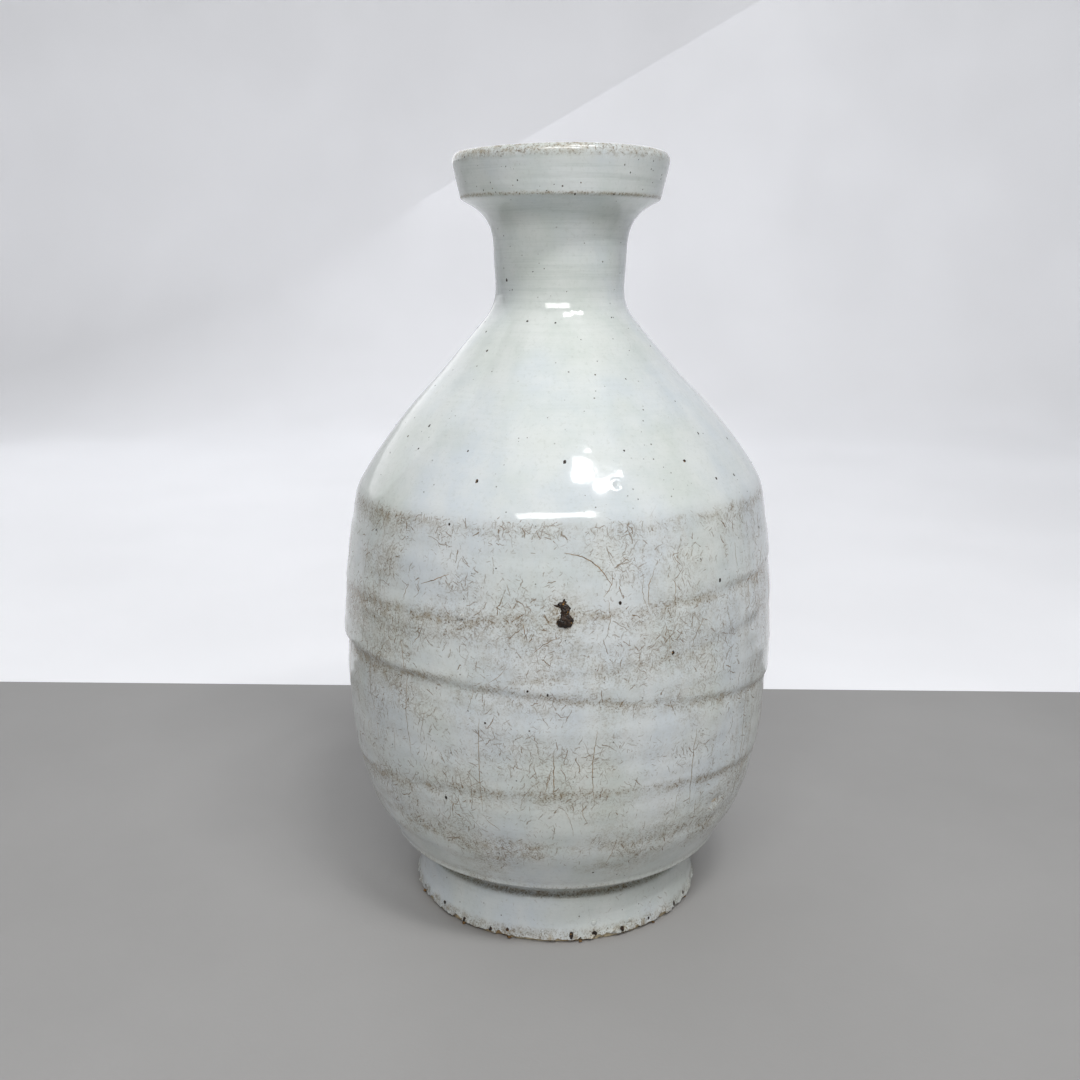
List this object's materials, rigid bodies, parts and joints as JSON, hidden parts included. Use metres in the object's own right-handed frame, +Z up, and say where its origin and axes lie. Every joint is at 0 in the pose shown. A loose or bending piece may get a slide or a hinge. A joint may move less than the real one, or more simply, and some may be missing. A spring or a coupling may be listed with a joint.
{
  "type": "sake bottle",
  "caption": "Wheel-thrown glazed white porcelain sake bottle with a dish mouth, short neck, ridged shoulder, ovoid belly and flared foot ring.",
  "frame": {"origin": "centre of the foot ring's resting plane", "axes": "+Z up along the axis the bottle was thrown on; -Y is the front, where the iron scar is"},
  "size_m": [0.14, 0.14, 0.24],
  "materials": {
    "white_porcelain_clay": "fired white stoneware-porcelain clay, matte, ochre where bare",
    "luting_slip": "fired joining slip, matte",
    "white_glaze": "glossy pale blue-grey white glaze with brown stained crackle and iron specks",
    "iron_crust": "rough dark iron crust, partly glassy",
    "kiln_sand": "gritty brown sand grains fused on"
  },
  "bodies": {
    "root": {"foot_ring": "white_porcelain_clay", "lower_body": "white_porcelain_clay", "shoulder_cone": "white_porcelain_clay", "neck_tube": "white_porcelain_clay", "dish_mouth": "white_porcelain_clay", "foot_slip": "luting_slip", "shoulder_slip": "luting_slip", "neck_slip": "luting_slip", "mouth_slip": "luting_slip", "outer_glaze": "white_glaze", "inner_glaze": "white_glaze", "base_glaze": "white_glaze", "iron_scar": "iron_crust", "kiln_grit": "kiln_sand"}
  },
  "joints": []
}
